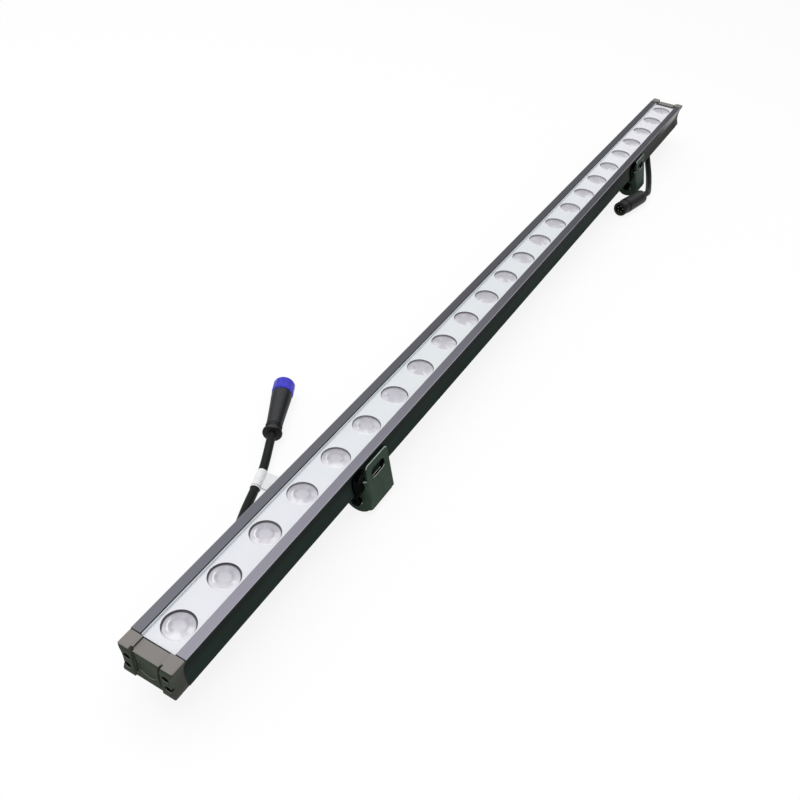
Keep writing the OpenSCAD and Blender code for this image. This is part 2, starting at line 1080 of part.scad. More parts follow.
module clamp_screws() {
    seat = waist_w / 2 + 4 * gap + clamp_t;
    color("black")
    in_place()
    for (far = [0, 1]) {
        translate([near_cheek + far * foot_spacing - gap - clamp_w / 2, -seat, clamp_screw_z]) {
            translate([0, -clamp_head_h, 0])
                rod_y(clamp_head_d, clamp_head_h);
            rod_y(clamp_screw_d, seat - waist_w / 2 - gap);
        }
    }
}

module pivot_screws() {
    color("black")
    for (far = [0, 1]) {
        at_pivot(far) {
            translate([-fit - washer_t - head_h, 0, 0])
                difference() {
                    rod_x(pivot_head_d, head_h);
                    mirror([1, 0, 0])
                        cross_cut();
                }
            translate([-fit - washer_t, 0, 0])
                rod_x(pivot_d, washer_t + sheet + 2 * gap + lug_t + pivot_nut_t + over);
        }
    }
}

module pivot_washers() {
    color("silver")
    for (far = [0, 1]) {
        at_pivot(far)
            translate([-fit - washer_t, 0, 0])
                difference() {
                    rod_x(washer_d, washer_t);
                    translate([-over, 0, 0])
                        rod_x(pivot_d + 2 * fit, washer_t + 2 * over);
                }
    }
}

module pivot_nuts() {
    color("silver")
    for (far = [0, 1]) {
        at_pivot(far)
            translate([sheet + gap + lug_t, 0, 0])
                difference() {
                    rotate([0, 90, 0])
                        cylinder(d = pivot_nut_d, h = pivot_nut_t, $fn = 6);
                    translate([-over, 0, 0])
                        rod_x(pivot_d + 2 * fit, pivot_nut_t + 2 * over);
                }
    }
}

housing();
cover_glass();
cover_seals();
lens_plate();
lenses();
leds();
led_board();
board_screws();
control_board();
control_parts();
lead_wires();
near_end_cap();
far_end_cap();
near_gasket();
far_gasket();
end_screws();
near_outlet();
far_outlet();
outlet_screws();
near_gland_nut();
far_gland_nut();
near_strain_relief();
far_strain_relief();
near_cable();
far_cable();
flag_label();
plug_body();
plug_insert();
plug_seal();
coupling_ring();
socket_body();
socket_insert();
socket_pins();
socket_seal();
near_foot();
far_foot();
near_clamp();
far_clamp();
clamp_screws();
pivot_screws();
pivot_washers();
pivot_nuts();
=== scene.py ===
# %% [markdown]
# # Outdoor wall washer light: the looks
#
# The light is a slim metal bar with a white plate and a row of lenses under glass. It lies on two
# folded foot brackets, with a plug on one short cable and a socket on another. Every solid was
# made to size in the CAD source. This lesson loads those solids and gives them their finishes.
# Where the real piece has rounded edges, ribs or a curl that the solids leave out, a new piece
# takes the solid's place.

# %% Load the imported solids
import bpy
import json
import math
from mathutils import Euler, Matrix, Vector


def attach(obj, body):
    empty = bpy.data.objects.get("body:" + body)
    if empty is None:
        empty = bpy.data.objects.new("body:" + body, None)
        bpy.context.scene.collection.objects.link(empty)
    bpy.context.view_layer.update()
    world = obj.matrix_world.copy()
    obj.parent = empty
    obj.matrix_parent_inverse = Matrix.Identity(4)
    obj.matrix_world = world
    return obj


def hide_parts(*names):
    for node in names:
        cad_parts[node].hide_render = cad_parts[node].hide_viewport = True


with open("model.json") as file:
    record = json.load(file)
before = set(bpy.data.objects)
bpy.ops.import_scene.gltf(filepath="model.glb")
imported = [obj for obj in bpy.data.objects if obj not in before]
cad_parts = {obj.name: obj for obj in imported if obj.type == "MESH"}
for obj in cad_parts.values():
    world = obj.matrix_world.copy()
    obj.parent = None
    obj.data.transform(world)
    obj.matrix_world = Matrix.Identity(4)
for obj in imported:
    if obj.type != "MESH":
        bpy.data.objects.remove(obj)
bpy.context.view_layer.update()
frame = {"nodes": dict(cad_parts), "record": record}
solids = frame["nodes"]
mm = 0.001

# %% [markdown]
# The camera stands where the photograph was taken: close to the near end and above it, so that
# the bar runs away to the upper right corner. Its place and turn came from a fit to the 24
# lenses, whose distance from each other is known.

# %% Camera
bpy.ops.object.camera_add(
    location=(-0.67623, -0.22939, 0.4766),
    rotation=(math.radians(49.4686), math.radians(-3.6464), math.radians(-60.072)),
)
camera = bpy.context.object
camera.data.sensor_width = 36
camera.data.lens = 38.993
camera.data.clip_start = 0.02
bpy.context.scene.camera = camera
print("camera looks along", [round(v, 3) for v in -camera.matrix_world.col[2].xyz])

# %% [markdown]
# The two cables are round, black and a little springy. Each leaves its outlet under the bar
# level and straight, sinks to the surface that the lamp lies on, and rises again at the end to
# the middle of its connector. A Bezier curve with automatic handles passes through every point of
# the route without a corner, and its bevel gives it the cable's thickness.

# %% Cables
cable_d = 7 * mm
outlet_place = 455 * mm
side_shift = 3.3958 * mm
near_route = [
    (38.4, 17.1, 14.1), (48.2, 21.6, 13.9), (57.9, 26.2, 12.4), (67.3, 31.1, 10.2),
    (76.6, 36.1, 7.9), (86.1, 41, 6.1), (95.9, 45.4, 4.9), (106, 49.4, 4.5),
    (116.2, 52.9, 4.4), (126.5, 56.3, 4.4), (136.7, 59.9, 4.4), (146.7, 63.9, 4.8),
    (156.5, 68.3, 6.2), (166.1, 72.7, 8.5), (175.8, 77.5, 9),
]
far_route = [
    (-41.1, -8.7, 14.1), (-49.4, -10.6, 14), (-57.3, -13.5, 13.1), (-64.9, -16.8, 11.4),
    (-72.4, -20.2, 9.3), (-79.9, -23.6, 7.2), (-87.6, -26.8, 5.4), (-95.5, -29.6, 4.2),
    (-103.5, -32.2, 3.7), (-111.7, -34.6, 3.7), (-119.8, -36.8, 4.2), (-128, -38.8, 5.2),
    (-136.3, -40.2, 6.7), (-144.6, -39.9, 8.3), (-152.9, -38.2, 8.6),
]


def cable(name, side, route):
    """Draws one cable along its route from the outlet on that side of the lamp."""
    curve = bpy.data.curves.new(name, "CURVE")
    curve.dimensions = "3D"
    curve.resolution_u = 10
    curve.bevel_depth = 1
    curve.bevel_resolution = 6
    curve.use_fill_caps = True
    line = curve.splines.new("BEZIER")
    line.bezier_points.add(len(route) - 1)
    for bend, (x, y, z) in zip(line.bezier_points, route):
        bend.co = (side * outlet_place + x * mm, side_shift + y * mm, z * mm)
        bend.handle_left_type = bend.handle_right_type = "AUTO"
        bend.radius = cable_d / 2
    piece = bpy.data.objects.new(name, curve)
    bpy.context.scene.collection.objects.link(piece)
    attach(piece, "lamp")
    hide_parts(name.replace("cord", "cable"))
    return piece, line


near_cord, near_line = cable("near_cord", -1, near_route)
far_cord, far_line = cable("far_cord", 1, far_route)
for piece, line in ((near_cord, near_line), (far_cord, far_line)):
    print(piece.name, "is", round(line.calc_length() / mm, 1), "mm long")

# %% [markdown]
# Materials are written as arithmetic. A channel is one value or colour that varies over a piece,
# and the operators of Python add the Math nodes that work it out. A finish is a material in the
# making: all its other nodes come from one method, which takes the node's type, its settings and
# what goes into its sockets.

# %% Channels and finishes
class Channel:
    """An output socket that takes part in arithmetic."""

    def __init__(self, finish, socket):
        self.finish = finish
        self.socket = socket

    def maths(self, operation, *values):
        return self.finish.node("Math", {"operation": operation}, dict(enumerate(values)))

    def __add__(self, other):
        return self.maths("ADD", self, other)

    def __sub__(self, other):
        return self.maths("SUBTRACT", self, other)

    def __rsub__(self, other):
        return self.maths("SUBTRACT", other, self)

    def __mul__(self, other):
        return self.maths("MULTIPLY", self, other)

    __radd__ = __add__
    __rmul__ = __mul__

    def over(self, other):
        return self.maths("DIVIDE", self, other)

    def power(self, exponent):
        return self.maths("POWER", self, exponent)

    def wrapped(self):
        return self.maths("FRACT", self)

    def size(self):
        return self.maths("ABSOLUTE", self)

    def rise(self, low, high):
        """Goes smoothly from 0 at low to 1 at high."""
        sockets = {"Value": self, "From Min": low, "From Max": high}
        return self.finish.node("MapRange", {"interpolation_type": "SMOOTHSTEP"}, sockets)

    def band(self, middle, half, soft):
        """Is 1 within half of middle and fades out over soft."""
        return 1 - (self - middle).size().rise(half, half + soft)


class Finish:
    """A material whose nodes are added one by one."""

    def __init__(self, name):
        self.material = bpy.data.materials.new(name)
        self.material.use_nodes = True
        self.tree = self.material.node_tree
        self.shader = self.tree.nodes["Principled BSDF"]
        self.place = self.node("TexCoord", out="Object")
        split = self.node("SeparateXYZ", {}, {0: self.place})
        axes = split.socket.node.outputs
        self.x, self.y, self.z = (Channel(self, axes[i]) for i in range(3))

    def node(self, kind, settings=None, sockets=None, out=0):
        made = self.tree.nodes.new("ShaderNode" + kind)
        for name, value in (settings or {}).items():
            setattr(made, name, value)
        for name, value in (sockets or {}).items():
            if isinstance(value, Channel):
                self.tree.links.new(value.socket, made.inputs[name])
            else:
                made.inputs[name].default_value = value
        return Channel(self, made.outputs[out])

    def mix(self, mask, first, second):
        """The first colour where the mask is 0, and the second where it is 1."""
        first, second = (tone(c) if isinstance(c, str) else c for c in (first, second))
        return self.node("Mix", {"data_type": "RGBA"}, {0: mask, 6: first, 7: second}, 2)

    def layers(self, base, *coats):
        """Lays colours over a base, each as far as its mask goes."""
        for mask, colour in coats:
            base = self.mix(mask, base, colour)
        return base

    def speckle(self, grain, detail=3.0, stretch=(1, 1, 1)):
        """Cloudy noise from 0 to 1 whose grains are that long, in metres."""
        spread = self.node("VectorMath", {"operation": "MULTIPLY"}, {0: self.place, 1: stretch})
        sockets = {"Vector": spread, "Scale": 1 / grain, "Detail": detail}
        return self.node("TexNoise", {}, sockets)

    def facing(self, axis):
        """How far the surface looks along axis 0, 1 or 2: from -1, straight away, to 1."""
        normal = self.node("NewGeometry", out="Normal")
        return self.node("SeparateXYZ", {}, {0: normal}, axis)

    def relief(self, height, depth, strength=1.0):
        """Bumps as deep as depth, in metres, where height goes from 0 to 1."""
        sockets = {"Strength": strength, "Distance": depth, "Height": height}
        self.set("Normal", self.node("Bump", {}, sockets))

    def set(self, name, value):
        socket = self.shader.inputs[name]
        if isinstance(value, Channel):
            self.tree.links.new(value.socket, socket)
        else:
            socket.default_value = value

    def done(self, **values):
        for name, value in values.items():
            self.set(name.replace("_", " "), value)
        return self.material


def tone(code):
    """A colour written as six hex digits, turned into the linear numbers that shaders take."""
    parts = [int(code[i:i + 2], 16) / 255 for i in (0, 2, 4)]
    return [p / 12.92 if p < 0.04045 else ((p + 0.055) / 1.055) ** 2.4 for p in parts] + [1]


print("a mid grey is", [round(v, 3) for v in tone("808080")[:3]])

# %% [markdown]
# The bar is extruded aluminium, with long, faint lines from the die. Its two top strips are smooth
# and painted silvery grey, lighter than the sides as the light from above falls on them, and its
# hollow sides are dark green grey, with painted shade high up under the top and painted light
# towards the far end. A painted highlight runs along the outer edge of each strip. All of this
# follows from the place along, across and up the bar, so the solid keeps its mesh and only the
# finish tells these zones apart.

# %% Coat of the bar
lamp_top = 52.1 * mm
half_width = 20 * mm


def bar_coat():
    f = Finish("bar_coat")
    across = f.y - side_shift
    lines = f.speckle(1.2 * mm, 2.0, (0.01, 1, 1))
    cloud = f.speckle(60 * mm, 2.0)
    # Painted light: the strips are lit from above, the right one more than the left, and both fade
    # from light at the near end to dark at the far end.
    right = f.mix(f.x.rise(-1.0, 0.15), "bbb8c6", "545359")
    left = f.mix(f.x.rise(-1.0, 0.0), "92929c", "535359")
    strips = f.mix(across.rise(-12 * mm, 4 * mm), right, left)
    strips = f.mix(lines.rise(0.4, 0.7) * 0.12, strips, "6d6b74")
    # Painted shade darkens the upper flank under the top; towards the far end the flank is painted
    # lighter and browner, with a painted highlight high up next to the far cap.
    high = f.z.rise(lamp_top - 20 * mm, lamp_top - 8 * mm)
    shine = f.x.rise(0.4, 0.475) * f.z.rise(lamp_top - 17 * mm, lamp_top - 9 * mm)
    flank = f.layers(
        f.mix(high, "26322d", "101b16"),
        (cloud.rise(0.35, 0.75) * 0.3, "18221e"),
        (f.x.rise(0.15, 0.42), "3c3b38"),
        (shine, "aeaaa7"),
    )
    top = f.z.rise(lamp_top - 0.5 * mm, lamp_top - 0.15 * mm)
    # A painted highlight runs along the outer edge of each strip.
    edge = across.size().rise(half_width - 0.5 * mm, half_width - 0.3 * mm)
    rim = edge * f.z.rise(lamp_top - 0.7 * mm, lamp_top - 0.4 * mm)
    f.relief(lines, 0.01 * mm, 0.3)
    f.set("Specular IOR Level", 0.03)
    coat = f.layers(flank, (top, strips), (rim * 0.6, "b9b8c2"))
    return f.done(Base_Color=coat, Roughness=0.55 + 0.12 * lines)


def cap_coat():
    f = Finish("cap_coat")
    grain = f.speckle(0.9 * mm, 4.0)
    cloud = f.speckle(14 * mm, 2.0)
    # Painted light: the cap's tone follows which way a face looks, darkest on the end faces, a
    # little lighter on the faces towards the side and light taupe grey on the top faces, where the
    # light from above falls.
    aside = 0 - f.facing(1)
    body = f.layers(
        f.mix(aside.rise(0.4, 0.9), "303a2d", "42453f"),
        (cloud.rise(0.3, 0.8) * 0.25, "3c4238"),
        (f.facing(2).rise(0.3, 0.8), "85817f"),
        (grain.rise(0.5, 0.8) * 0.12, "a19b95"),
    )
    f.relief(grain, 0.05 * mm, 0.35)
    f.set("Specular IOR Level", 0.08)
    return f.done(Base_Color=body, Roughness=0.55 + 0.15 * grain)


print("the bar is", round(2 * half_width / mm), "mm wide and its top", lamp_top / mm, "mm high")

# %% [markdown]
# Under the glass lies a glossy white plate with a round hole for each lens. The walls of the
# holes are painted dark as shade, because they look into the unlit inside, and from the camera
# this draws a thin crescent along the far side of each lens. Further along the bar only the top of
# each wall keeps the painted shade, and from the middle on the walls turn light grey. The lenses
# repeat every 41 mm, so the distance to the middle of the nearest one comes from the place along
# the bar with its whole steps taken off. Light falls in from the far left, so each lens gets a
# painted crescent of shade under that side of its rim, painted light with glints on its other
# half, and a bright painted rim there. The first lenses show the most of this, and the last ones
# none. The seals beside the glass are clear, with a painted dark line of shade along the wall of
# the window.

# %% White plate, lenses and glass
pitch = 41 * mm
lens_r = 10.5 * mm
window_half = 13 * mm
glass_middle = lamp_top - 2.2 * mm
plate_top = lamp_top - 3.2 * mm
light_x, light_y = 0.83, 0.56


def from_lens(f):
    """How far a point is from the middle of its lens, along, across and straight."""
    along = ((f.x * (1 / pitch)).wrapped() - 0.5) * pitch
    across = f.y - side_shift
    return along, across, (along * along + across * across).power(0.5)


def near_lenses(f, end=-0.35):
    """Is 1 over the lenses at the near end of the bar and fades out up to end, in metres."""
    return 1 - f.x.rise(-0.41, end)


def plate_white():
    f = Finish("plate_white")
    away = from_lens(f)[2]
    hole = 1 - away.rise(lens_r + 0.22 * mm, lens_r + 0.3 * mm)
    under = 1 - f.z.rise(plate_top - 0.06 * mm, plate_top - 0.02 * mm)
    haze = f.speckle(25 * mm, 2.0)
    white = f.layers(
        f.mix(f.x.rise(-0.4, -0.25), "e1e1e7", "dee2e5"),
        (haze.rise(0.3, 0.8) * 0.35, "d9dde1"),
        (f.x.rise(0.05, 0.35), "ebebf0"),
    )
    # Painted shade on the walls of the holes: dark all down the wall at the near lenses, further
    # along only at the top, and light grey from the middle on.
    deep = 1 - f.z.rise(plate_top - 0.9 * mm, plate_top - 0.6 * mm)
    wall = f.mix(deep * (1 - near_lenses(f)), "140c10", "9b99a0")
    wall = f.mix(f.x.rise(-0.1, 0.25), wall, "b4b2b9")
    return f.done(Base_Color=f.mix(hole * under, white, wall), Roughness=0.35)


def lens_plastic():
    f = Finish("lens_plastic")
    along, across, away = from_lens(f)
    ray = {0: along.over(away), 1: across.over(away), 2: f.x * 9}
    fan_place = f.node("CombineXYZ", {}, ray)
    fan = f.node("TexNoise", {}, {"Vector": fan_place, "Scale": 1.2, "Detail": 1.0})
    ripple = f.speckle(3.2 * mm, 3.0)
    # Painted light: the half of each lens away from the light is lighter, with a bright painted
    # rim, and the crescent is painted shade under the rim on the light's side.
    lower = (0 - (along * light_x + across * light_y)).rise(-10 * mm, 11 * mm)
    aside = (across * light_x - along * light_y).over(away)
    blush = 0.35 + 0.25 * near_lenses(f, -0.3)
    # The flare and the streak are painted glints; the core and the ring make a lighter middle and
    # a darker ring in the near lenses.
    flare = fan.rise(0.42, 0.66) * away.rise(1.5 * mm, 7 * mm) * (0.15 + 0.6 * lower)
    close = 1 - f.x.rise(-0.44, -0.05)
    core = (1 - away.rise(2.6 * mm, 4.6 * mm)) * 0.5
    ring = away.band(5.2 * mm, 0.4 * mm, 1.1 * mm) * aside.size().rise(0.3, 0.95) * 0.5
    streak = away.band(6.9 * mm, 0.25 * mm, 0.5 * mm) * aside.rise(0.7, 0.97) * 0.8
    crescent = away.rise(9.0 * mm, 9.9 * mm) * (1 - lower) * near_lenses(f)
    body = f.layers(
        f.mix(lower, "a9a7b0", "c8c6ce"),
        (ripple.rise(0.5, 0.75) * blush, "c0a9b6"),
        (flare, "f0f0f4"),
        (core * close, "cfced5"),
        (ring * close, "96949e"),
        (streak * close, "f6f6fa"),
        (away.rise(7.5 * mm, 9.8 * mm) * lower, "e9e9ee"),
        (crescent.rise(0.15, 0.5) * 0.85, "2b2429"),
    )
    f.relief(ripple, 0.1 * mm, 0.3)
    return f.done(Base_Color=body, Roughness=0.14 + 0.1 * ripple, Coat_Weight=0.25)


def clear_seal():
    f = Finish("clear_seal")
    cloud = f.speckle(4 * mm, 2.0)
    # Painted shade: a dark line along the seal where the wall of the window shades it.
    wall_shade = (f.y - side_shift).size().rise(window_half - 0.3 * mm, window_half - 0.2 * mm)
    clear = f.mix(cloud.rise(0.4, 0.7), "dde3e6", "d3dbde")
    return f.done(Base_Color=f.mix(wall_shade, clear, "343042"), Roughness=0.4)


def clear_glass():
    f = Finish("clear_glass")
    smear = f.speckle(30 * mm, 2.0)
    return f.done(
        Base_Color=f.mix(smear * 0.2, "f4f6f7", "e4eae9"),
        Roughness=0.03 + 0.03 * smear,
        Alpha=0.02 + 0.02 * smear,
    )


# %% [markdown]
# The folded brackets have a green grey powder coat with a fine orange peel. Their edges that face
# the light carry a painted highlight, and the faces inside their slots are painted near black as
# shade. Clamps and screws are blackened steel. These finishes and the plain ones of the parts
# inside differ only in colour, gloss, grain and how deep the grain is, so one function makes them
# all from a short table.

# %% Plain finishes
plain_finishes = {
    "seal": ("1d1c20", "29282c", 0.6, 0.2, 0.0, 1.5, 0.03),
    "led": ("d8cf84", "e6dc98", 0.5, 0.5, 0.0, 0.8, 0.01),
    "board_white": ("dfe2df", "ced2cf", 0.4, 0.5, 0.0, 6.0, 0.01),
    "board_green": ("14502c", "1b5f36", 0.35, 0.5, 0.0, 4.0, 0.02),
    "board_parts": ("26262a", "35353a", 0.5, 0.4, 0.0, 1.5, 0.02),
    "wire": ("8e1d1b", "7a1715", 0.45, 0.5, 0.0, 3.0, 0.02),
    "steel": ("b4b5b9", "9c9da2", 0.3, 0.5, 1.0, 0.9, 0.02),
    "black_steel": ("020303", "050606", 0.75, 0.03, 0.0, 0.8, 0.03),
    "bracket_coat": ("32453a", "2c3e32", 0.55, 0.1, 0.0, 0.9, 0.05),
    "bracket_edge_highlight": ("cdd6ce", "b5beb6", 0.4, 0.4, 0.0, 0.7, 0.03),
    "bracket_slot_shade": ("060906", "0a0e0b", 0.6, 0.05, 0.0, 0.9, 0.03),
    "cable_jacket": ("191c1d", "1f2223", 0.5, 0.15, 0.0, 1.8, 0.03),
    "blue_ring": ("4643cd", "3c39bb", 0.35, 0.35, 0.0, 1.2, 0.03),
    "insert": ("030404", "070808", 0.6, 0.05, 0.0, 0.9, 0.02),
    "contact": ("6d6454", "5c5446", 0.35, 0.5, 1.0, 0.5, 0.01),
}


def plain_finish(name):
    """A finish of two near tones, with its roughness, shine, metal, grain and depth in mm."""
    first, second, rough, shine, metal, grain, depth = plain_finishes[name]
    f = Finish(name)
    fine = f.speckle(grain * mm, 4.0)
    cloud = f.speckle(12 * grain * mm, 2.0)
    colour = f.mix(cloud.rise(0.3, 0.7), first, second)
    f.relief(fine, depth * mm, 0.5)
    f.set("Specular IOR Level", shine)
    return f.done(Base_Color=colour, Roughness=rough - 0.06 + 0.12 * fine, Metallic=metal)


def black_plastic_top_sheen():
    f = Finish("black_plastic")
    streaks = f.speckle(1.6 * mm, 3.0)
    # Painted highlight: the top faces are painted lighter, where the light from above falls,
    # streaked by the fine grain.
    top = f.facing(2).rise(0.7, 1.0) * (0.3 + 0.4 * streaks)
    body = f.mix(top, "0c0e0e", "515155")
    f.relief(streaks, 0.04 * mm, 0.4)
    f.set("Specular IOR Level", 0.2)
    return f.done(Base_Color=body, Roughness=0.4 + 0.1 * streaks)


finishes = {name: plain_finish(name) for name in plain_finishes}
special_finishes = {
    "black_plastic": black_plastic_top_sheen, "body_coat": bar_coat, "cap_coat": cap_coat,
    "white_plate": plate_white, "lens": lens_plastic, "clear_seal": clear_seal,
    "glass": clear_glass,
}
for name, make in special_finishes.items():
    finishes[name] = make()
print("finishes made:", len(finishes))

# %% [markdown]
# The label is a white film that is wrapped round the cable and stuck to itself, so that its end
# stands off as a flag. It has one thin dark line across its lower end and is otherwise bare.

# %% Finish of the label
label_at = Vector((-outlet_place + 133.5 * mm, side_shift + 58.8 * mm, 4.4 * mm))
label_turn = math.radians(19)


def label_film():
    f = Finish("label_film")
    forward = (f.x - label_at.x) * math.cos(label_turn) + (f.y - label_at.y) * math.sin(label_turn)
    line = forward.band(-7.6 * mm, 0.25 * mm, 0.15 * mm)
    crease = f.speckle(5 * mm, 3.0)
    film = f.mix(crease.rise(0.4, 0.8) * 0.5, "eeeef0", "d7d8dc")
    f.relief(crease, 0.1 * mm, 0.3)
    return f.done(Base_Color=f.mix(line * 0.8, film, "3c4048"), Roughness=0.42)


finishes["label"] = label_film()

# %% [markdown]
# Each solid of the frame names the finish it has in the record, so one loop dresses them all.

# %% Dress the solids
for part in frame["record"]["subparts"]:
    mesh = solids[part["node"]].data
    mesh.materials.clear()
    mesh.materials.append(finishes[part["material_slot"]])
near_cord.data.materials.append(finishes["cable_jacket"])
far_cord.data.materials.append(finishes["cable_jacket"])

# %% [markdown]
# A turned piece is made as on a lathe: half its outline is drawn beside the axis and spun round
# once. The doubled points where the ends meet are merged, the faces are turned outwards, and the
# finished piece is laid along its own direction.

# %% The lathe
def deselect():
    bpy.ops.object.select_all(action="DESELECT")


def take(piece):
    """Makes a piece the only selected one."""
    deselect()
    piece.select_set(True)
    bpy.context.view_layer.objects.active = piece


def open_mesh(piece, action="SELECT"):
    """Opens a piece's mesh for editing with all of it selected, or none with DESELECT."""
    take(piece)
    bpy.ops.object.mode_set(mode="EDIT")
    bpy.ops.mesh.select_all(action=action)


def close_mesh():
    bpy.ops.object.mode_set(mode="OBJECT")


def settle(piece, body, slot_name, *nodes):
    """Gives a finished piece its place in the lamp and its finish."""
    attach(piece, body)
    if nodes:
        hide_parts(*nodes)
    if not piece.data.materials:
        piece.data.materials.append(finishes[slot_name])
    return piece


def turned(name, outline, place, turn=0.0, upright=False, steps=64):
    """Spins an outline of (distance along, radius) in mm, and lays it along its direction."""
    mesh = bpy.data.meshes.new(name)
    points = [(along * mm, 0, radius * mm) for along, radius in outline]
    mesh.from_pydata(points, [(i, i + 1) for i in range(len(points) - 1)], [])
    piece = bpy.data.objects.new(name, mesh)
    bpy.context.scene.collection.objects.link(piece)
    open_mesh(piece)
    bpy.ops.mesh.spin(steps=steps, angle=2 * math.pi, center=(0, 0, 0), axis=(1, 0, 0))
    bpy.ops.mesh.select_all(action="SELECT")
    bpy.ops.mesh.remove_doubles(threshold=0.005 * mm)
    bpy.ops.mesh.normals_make_consistent(inside=False)
    close_mesh()
    lay = Euler((0, -math.pi / 2 if upright else 0, turn)).to_matrix().to_4x4()
    mesh.transform(Matrix.Translation(place) @ lay)
    bpy.ops.object.shade_smooth_by_angle(angle=math.radians(35))
    return piece


# %% [markdown]
# A lens is a disc of clear plastic with a gently domed top and a rounded rim. One is turned, and
# the other 23 are copies of it, each with a mesh of its own, moved a step further along the bar.

# %% Lenses
lens_count = 24
board_top = lamp_top - 12.75 * mm
lens_outline = [
    (2.58, 0), (1.84, 3.2), (0, 3.2), (0, 5.6), (6.7, 9.2), (7.0, 10.3), (7.2, 10.5),
    (7.8, 10.5), (8.05, 10.4), (8.25, 10.1), (8.6, 9.0), (8.85, 7.4), (9.03, 5.4), (9.14, 2.8),
    (9.2, 0),
]
first_place = Vector((-(lens_count - 1) / 2 * pitch, side_shift, board_top))
first_lens = turned("lens_01", lens_outline, first_place, upright=True, steps=48)
lenses = [first_lens]
for i in range(1, lens_count):
    lens = first_lens.copy()
    lens.data = first_lens.data.copy()
    lens.data.transform(Matrix.Translation((i * pitch, 0, 0)))
    lens.name = f"lens_{i + 1:02d}"
    bpy.context.scene.collection.objects.link(lens)
    lenses.append(lens)
for lens in lenses:
    settle(lens, "lamp", "lens")
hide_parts("lenses")
print("lenses:", len(lenses))

# %% [markdown]
# The plug's body swells from a collar at the cable to its coupling ring, with two fine rings
# beside the collar. The socket's body is a plain tapered barrel with a groove behind its nose.
# Both keep the recess for their inserts at the front.

# %% Plug and socket bodies
plug_at = Vector((-outlet_place + 175.8 * mm, side_shift + 77.5 * mm, 9 * mm))
plug_turn = math.radians(26.5)
socket_at = Vector((outlet_place - 152.9 * mm, side_shift - 38.2 * mm, 8.6 * mm))
socket_turn = math.radians(167.2)
plug_outline = [
    (0, 0), (0, 6.6), (0.4, 7.5), (1.2, 7.95), (2.4, 7.95), (3.0, 7.6), (3.6, 6.5), (4.6, 6.2),
    (6.2, 6.25), (6.5, 6.7), (7.1, 6.7), (7.4, 6.3), (8.4, 6.35), (8.7, 6.8), (9.3, 6.8),
    (9.6, 6.4), (14, 6.6), (22, 7.0), (32, 7.6), (42, 8.25), (47.2, 8.5), (48, 8.4), (48, 7.3),
    (61, 7.3), (61, 5.25), (52.05, 5.25), (52.05, 0),
]
socket_outline = [
    (0, 0), (0, 5.6), (0.5, 6.1), (3, 7.9), (4, 8.1), (12, 8.2), (24, 8.35), (37, 8.6),
    (38.4, 8.6), (38.7, 8.4), (38.7, 6.9), (39.9, 6.9), (39.9, 8.0), (40.2, 8.1), (49.6, 8.1),
    (50.2, 7.9), (50.5, 7.4), (50.5, 5.4), (50.2, 5.25), (41.55, 5.25), (41.55, 0),
]
plug = turned("plug_shell", plug_outline, plug_at, plug_turn)
settle(plug, "lamp", "black_plastic", "plug_body")
socket = turned("socket_shell", socket_outline, socket_at, socket_turn)
settle(socket, "lamp", "black_plastic", "socket_body")
print("plug and socket shells:", len(plug.data.polygons), len(socket.data.polygons), "faces")

# %% [markdown]
# The coupling ring is a blue sleeve with raised grips. Its blank is turned a little thin. Then
# every other group of faces on the outside is picked by its place round the axis and pushed out.

# %% Coupling ring
ring_outline = [
    (49, 7.55), (49, 8.3), (49.3, 8.6), (50.4, 8.6), (50.4, 8.61), (61, 8.6), (61.7, 8.5),
    (62, 8.2), (62, 7.7), (61.8, 7.55), (49, 7.55),
]
ring = turned("grip_ring", ring_outline, Vector((0, 0, 0)), steps=72)
open_mesh(ring, "DESELECT")
close_mesh()
for face in ring.data.polygons:
    angle = math.degrees(math.atan2(face.center.z, face.center.y)) % 30
    on_grip = 51 * mm < face.center.x < 60.9 * mm and math.hypot(*face.center.yz) > 8.5 * mm
    face.select = on_grip and angle > 8
bpy.ops.object.mode_set(mode="EDIT")
bpy.ops.mesh.extrude_region_shrink_fatten(TRANSFORM_OT_shrink_fatten={"value": 0.38 * mm})
close_mesh()
ring.data.transform(Matrix.Translation(plug_at) @ Matrix.Rotation(plug_turn, 4, "Z"))
bpy.ops.object.shade_smooth_by_angle(angle=math.radians(35))
settle(ring, "ring", "blue_ring", "coupling_ring")
print("grip ring:", len(ring.data.polygons), "faces")

# %% [markdown]
# A strain relief is a soft tapered sleeve. Rings of grooves let it bend with the cable, so the
# outline steps in and out as the radius shrinks from the gland nut to the cable.

# %% Strain reliefs
relief_outline = [(0, 0), (0, 6.0), (0.3, 6.2)]
for i in range(6):
    start = 1.6 + 3.1 * i
    wide = 6.2 - 0.3 * i
    relief_outline += [(start, wide), (start + 0.3, wide - 0.8), (start + 1.0, wide - 0.85)]
    relief_outline += [(start + 1.3, wide - 0.25)]
relief_outline += [(20.7, 4.3), (21, 4.1), (21, 0)]
outlets = (("near", -1, math.radians(24)), ("far", 1, math.radians(192)))
for name, side, turn in outlets:
    middle = Vector((side * outlet_place, side_shift, 14.1 * mm))
    start = middle + Vector((math.cos(turn), math.sin(turn), 0)) * 21 * mm
    relief = turned(f"{name}_ribbed_relief", relief_outline, start, turn, steps=40)
    settle(relief, "lamp", "cable_jacket", f"{name}_strain_relief")

# %% [markdown]
# Folded and moulded pieces have no razor-sharp edges. A solid's mesh is loose triangles, so a copy
# of it is welded, its flat faces are joined, and a narrow bevel rounds every sharp edge. The
# light then catches these edges as on the real thing.

# %% Copies with rounded edges
def welded_copy(node, name):
    """A copy of a solid whose doubled points are merged and whose flat faces are joined."""
    piece = bpy.data.objects.new(name, solids[node].data.copy())
    bpy.context.scene.collection.objects.link(piece)
    open_mesh(piece)
    bpy.ops.mesh.remove_doubles(threshold=0.002 * mm)
    bpy.ops.mesh.dissolve_limited(angle_limit=math.radians(0.5))
    close_mesh()
    return piece


